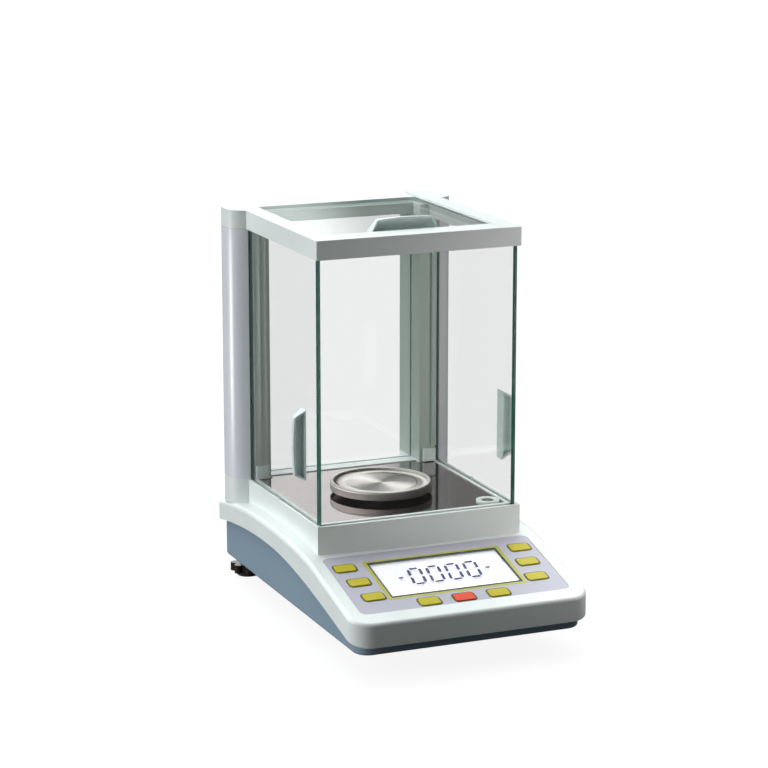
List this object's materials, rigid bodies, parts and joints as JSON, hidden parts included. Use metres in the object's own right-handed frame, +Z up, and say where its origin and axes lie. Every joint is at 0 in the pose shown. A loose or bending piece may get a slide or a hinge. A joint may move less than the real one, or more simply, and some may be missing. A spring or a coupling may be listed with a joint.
{
  "type": "analytical balance",
  "caption": "Electronic analytical balance: glass weighing chamber with sliding side and top doors, round steel pan, sloping keypad with wide display, screw levelling feet.",
  "frame": {"origin": "centre of the case in plan, at the table under its feet", "axes": "+Z up, the keypad faces -Y, the left door is at -X"},
  "size_m": [0.216, 0.342, 0.3553],
  "materials": {
    "white_plastic": "fine moulded texture, satin",
    "blue_grey_plastic": "fine moulded texture, satin",
    "white_painted_aluminium": "satin powder coat",
    "grey_aluminium": "satin coat",
    "glass": "clear float glass with ground green edges",
    "dark_mirror": "dark polished",
    "dark_liner": "matt",
    "handle_plastic": "semi-gloss moulded",
    "lavender_overlay": "fine-grained film",
    "yellow_border": "printed border",
    "clear_window": "clear",
    "liquid_crystal": "pale reflective cell with dark segments",
    "yellow_key": "semi-gloss",
    "red_key": "semi-gloss",
    "switch_black": "matt",
    "circuit_board": "solder mask",
    "iron_core": "laminated",
    "black_plastic": "matt moulded",
    "port_metal": "tinned",
    "level_ring": "moulded, semi-gloss",
    "level_glass": "clear lens over liquid",
    "stainless_steel": "turned and polished",
    "cell_aluminium": "machined",
    "spring_steel": "ground",
    "copper_winding": "enamelled wire",
    "magnet_iron": "plated",
    "zinc_steel": "zinc plated",
    "brass_insert": "turned",
    "black_rubber": "matt"
  },
  "bodies": {
    "base": {"top_case": "white_plastic", "chamber_base": "white_plastic", "column_feet": "white_plastic", "top_frame": "white_plastic", "top_crossbar": "grey_aluminium", "door_guides": "handle_plastic", "bottom_case": "blue_grey_plastic", "left_column": "white_painted_aluminium", "right_column": "white_painted_aluminium", "left_inner_post": "grey_aluminium", "right_inner_post": "grey_aluminium", "front_glass": "glass", "rear_glass": "glass", "floor_plate": "dark_mirror", "door_tracks": "dark_liner", "keypad_panel": "lavender_overlay", "display_bezel": "yellow_border", "display_window": "clear_window", "display_module": "liquid_crystal", "key_switches": "switch_black", "key_board": "circuit_board", "main_board": "circuit_board", "transformer": "iron_core", "power_inlet": "black_plastic", "data_port": "port_metal", "level_housing": "level_ring", "level_vial": "level_glass", "cell_frame": "cell_aluminium", "cell_guides": "spring_steel", "magnet_pot": "magnet_iron", "foot_inserts": "brass_insert", "front_feet": "black_rubber", "case_screws": "zinc_steel", "column_screws": "zinc_steel"},
    "left_door": {"left_door_glass": "glass", "left_door_handle": "handle_plastic"},
    "right_door": {"right_door_glass": "glass", "right_door_handle": "handle_plastic"},
    "top_door": {"top_door_glass": "glass", "top_door_handle": "handle_plastic"},
    "receiver": {"load_receiver": "cell_aluminium", "pan_support": "stainless_steel"},
    "pan": {"pan": "stainless_steel"},
    "lever": {"cell_lever": "cell_aluminium", "lever_coil": "copper_winding"},
    "left_foot_pad": {"left_foot_pad": "black_rubber"},
    "left_foot_screw": {"left_foot_knob": "black_plastic", "left_foot_stud": "zinc_steel"},
    "right_foot_pad": {"right_foot_pad": "black_rubber"},
    "right_foot_screw": {"right_foot_knob": "black_plastic", "right_foot_stud": "zinc_steel"},
    "key_left_rear": {"key_left_rear": "yellow_key"},
    "key_left_middle": {"key_left_middle": "yellow_key"},
    "key_left_front": {"key_left_front": "yellow_key"},
    "key_right_rear": {"key_right_rear": "yellow_key"},
    "key_right_middle": {"key_right_middle": "yellow_key"},
    "key_right_front": {"key_right_front": "yellow_key"},
    "key_front_left": {"key_front_left": "yellow_key"},
    "key_front_middle": {"key_front_middle": "red_key"},
    "key_front_right": {"key_front_right": "yellow_key"}
  },
  "joints": [
    {"name": "left_door_slide", "type": "slide", "parent": "base", "child": "left_door", "axis": [0, 1, 0], "range_m": [0, 0.12]},
    {"name": "right_door_slide", "type": "slide", "parent": "base", "child": "right_door", "axis": [0, 1, 0], "range_m": [0, 0.12]},
    {"name": "top_door_slide", "type": "slide", "parent": "base", "child": "top_door", "axis": [0, 1, 0], "range_m": [0, 0.12]},
    {"name": "pan_travel", "type": "slide", "parent": "base", "child": "receiver", "axis": [0, 0, 1], "range_m": [-0.00015, 0.00015], "stiffness_N_per_m": 60000},
    {"name": "pan_lift", "type": "slide", "parent": "receiver", "child": "pan", "axis": [0, 0, 1], "range_m": [0, 0.06]},
    {"name": "lever_tilt", "type": "hinge", "parent": "base", "child": "lever", "pos_m": [0, 0.048, 0.066], "axis": [1, 0, 0], "range_deg": [-1.2, 1.2]},
    {"name": "left_foot_travel", "type": "slide", "parent": "base", "child": "left_foot_pad", "axis": [0, 0, 1], "range_m": [-0.004, 0.004]},
    {"name": "left_foot_turn", "type": "hinge", "parent": "left_foot_pad", "child": "left_foot_screw", "pos_m": [-0.082, 0.153, 0.02], "axis": [0, 0, 1], "range_deg": [-1300, 1300]},
    {"name": "right_foot_travel", "type": "slide", "parent": "base", "child": "right_foot_pad", "axis": [0, 0, 1], "range_m": [-0.004, 0.004]},
    {"name": "right_foot_turn", "type": "hinge", "parent": "right_foot_pad", "child": "right_foot_screw", "pos_m": [0.082, 0.153, 0.02], "axis": [0, 0, 1], "range_deg": [-1300, 1300]},
    {"name": "key_left_rear_press", "type": "slide", "parent": "base", "child": "key_left_rear", "axis": [0, 0.2429, -0.97], "range_m": [0, 0.0005], "stiffness_N_per_m": 700},
    {"name": "key_left_middle_press", "type": "slide", "parent": "base", "child": "key_left_middle", "axis": [0, 0.2429, -0.97], "range_m": [0, 0.0005], "stiffness_N_per_m": 700},
    {"name": "key_left_front_press", "type": "slide", "parent": "base", "child": "key_left_front", "axis": [0, 0.2429, -0.97], "range_m": [0, 0.0005], "stiffness_N_per_m": 700},
    {"name": "key_right_rear_press", "type": "slide", "parent": "base", "child": "key_right_rear", "axis": [0, 0.2429, -0.97], "range_m": [0, 0.0005], "stiffness_N_per_m": 700},
    {"name": "key_right_middle_press", "type": "slide", "parent": "base", "child": "key_right_middle", "axis": [0, 0.2429, -0.97], "range_m": [0, 0.0005], "stiffness_N_per_m": 700},
    {"name": "key_right_front_press", "type": "slide", "parent": "base", "child": "key_right_front", "axis": [0, 0.2429, -0.97], "range_m": [0, 0.0005], "stiffness_N_per_m": 700},
    {"name": "key_front_left_press", "type": "slide", "parent": "base", "child": "key_front_left", "axis": [0, 0.2429, -0.97], "range_m": [0, 0.0005], "stiffness_N_per_m": 700},
    {"name": "key_front_middle_press", "type": "slide", "parent": "base", "child": "key_front_middle", "axis": [0, 0.2429, -0.97], "range_m": [0, 0.0005], "stiffness_N_per_m": 700},
    {"name": "key_front_right_press", "type": "slide", "parent": "base", "child": "key_front_right", "axis": [0, 0.2429, -0.97], "range_m": [0, 0.0005], "stiffness_N_per_m": 700}
  ],
  "couplings": [
    {"joint": "lever_tilt", "follows": "pan_travel", "rad_per_m": -125},
    {"joint": "left_foot_turn", "follows": "left_foot_travel", "rad_per_m": 5026.5},
    {"joint": "right_foot_turn", "follows": "right_foot_travel", "rad_per_m": 5026.5}
  ]
}
